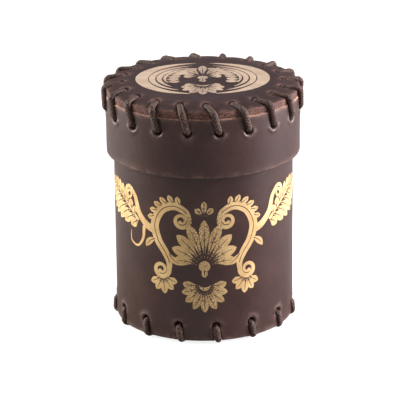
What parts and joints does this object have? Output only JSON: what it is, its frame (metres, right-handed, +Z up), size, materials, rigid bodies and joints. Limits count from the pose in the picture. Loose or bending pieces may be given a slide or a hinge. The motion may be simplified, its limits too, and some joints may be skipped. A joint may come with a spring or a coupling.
{
  "type": "dice cup",
  "caption": "Round leather dice cup with a close-fitting lift-off lid, laced with round waxed cord at the lid's rim and at the base.",
  "frame": {"origin": "on the cup's axis, at the underside of the base laces, which it stands on", "axes": "+Z up along the cup's axis, the side that faces the viewer towards -Y, +X to the viewer's right"},
  "size_m": [0.0956, 0.0956, 0.1186],
  "materials": {
    "leather": "dark brown, satin",
    "lace": "waxed cord",
    "seam_thread": "waxed thread",
    "gold_foil": "hot-stamped foil, in the visual model only"
  },
  "bodies": {
    "cup": {"cup_wall": "leather", "cup_base": "leather", "cup_base_lace": "lace", "cup_seam_thread": "seam_thread"},
    "lid": {"lid_skirt": "leather", "lid_top": "leather", "lid_lace": "lace", "lid_seam_thread": "seam_thread"}
  },
  "joints": [
    {"name": "lid_lift", "type": "slide", "parent": "cup", "child": "lid", "axis": [0, 0, 1], "range_m": [0, 0.05]}
  ]
}
